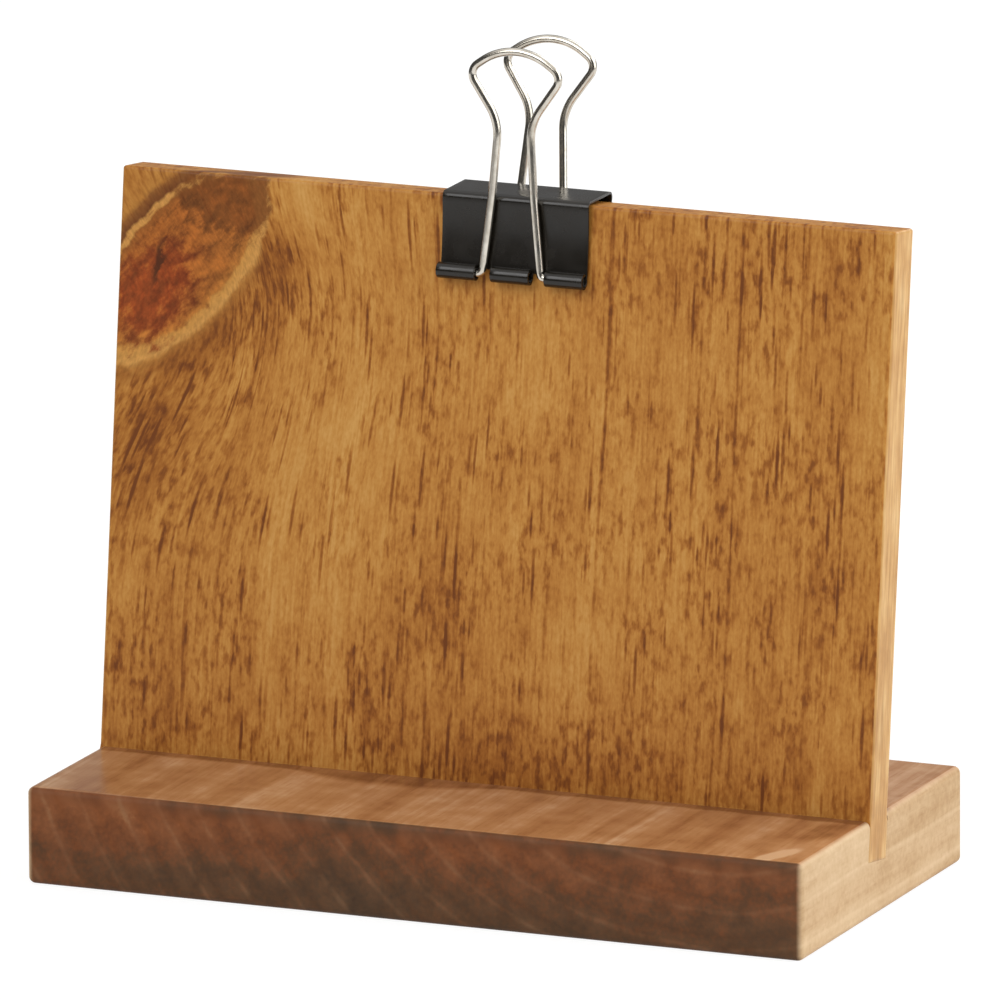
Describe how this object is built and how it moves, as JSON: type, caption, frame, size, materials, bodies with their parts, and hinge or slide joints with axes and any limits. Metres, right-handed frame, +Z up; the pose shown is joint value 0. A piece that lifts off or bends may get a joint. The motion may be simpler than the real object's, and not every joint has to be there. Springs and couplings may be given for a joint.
{
  "type": "menu holder",
  "caption": "Table menu holder: a leaning wooden board set in a grooved wooden base, with a sliding black fold-back clip and wire arms on its top edge to hold a card.",
  "frame": {"origin": "middle of the base's underside, on the table", "axes": "+Z up, +X to the reader's right along the board, +Y away from the reader, the way the board leans"},
  "size_m": [0.13, 0.0666, 0.1304],
  "materials": {
    "base_wood": "stained and lacquered, satin",
    "board_wood": "stained and lacquered, satin",
    "black_steel": "black enamel, gloss",
    "plated_wire": "bright nickel plate"
  },
  "bodies": {
    "stand": {"base": "base_wood", "back_board": "board_wood"},
    "clip": {"clip_spine": "black_steel"},
    "front_jaw": {"clip_front_jaw": "black_steel"},
    "rear_jaw": {"clip_rear_jaw": "black_steel"},
    "front_handle": {"front_arm": "plated_wire"},
    "rear_handle": {"rear_arm": "plated_wire"}
  },
  "joints": [
    {"name": "clip_slide", "type": "slide", "parent": "stand", "child": "clip", "axis": [1, 0, 0], "range_m": [-0.054, 0.05]},
    {"name": "front_jaw_flex", "type": "hinge", "parent": "clip", "child": "front_jaw", "pos_m": [0.002, 0.00571, 0.10596], "axis": [-1, 0, 0], "range_deg": [0, 12], "stiffness_Nm_per_rad": 0.8},
    {"name": "rear_jaw_flex", "type": "hinge", "parent": "clip", "child": "rear_jaw", "pos_m": [0.002, 0.01346, 0.10596], "axis": [1, 0, 0], "range_deg": [0, 12], "stiffness_Nm_per_rad": 0.8},
    {"name": "front_arm_fold", "type": "hinge", "parent": "front_jaw", "child": "front_handle", "pos_m": [0.002, 0.00303, 0.0948], "axis": [1, 0, 0], "range_deg": [0, 177.5]},
    {"name": "rear_arm_fold", "type": "hinge", "parent": "rear_jaw", "child": "rear_handle", "pos_m": [0.002, 0.01336, 0.09449], "axis": [-1, 0, 0], "range_deg": [0, 177.5]}
  ],
  "couplings": [
    {"joint": "rear_jaw_flex", "follows": "front_jaw_flex", "ratio": 1}
  ]
}
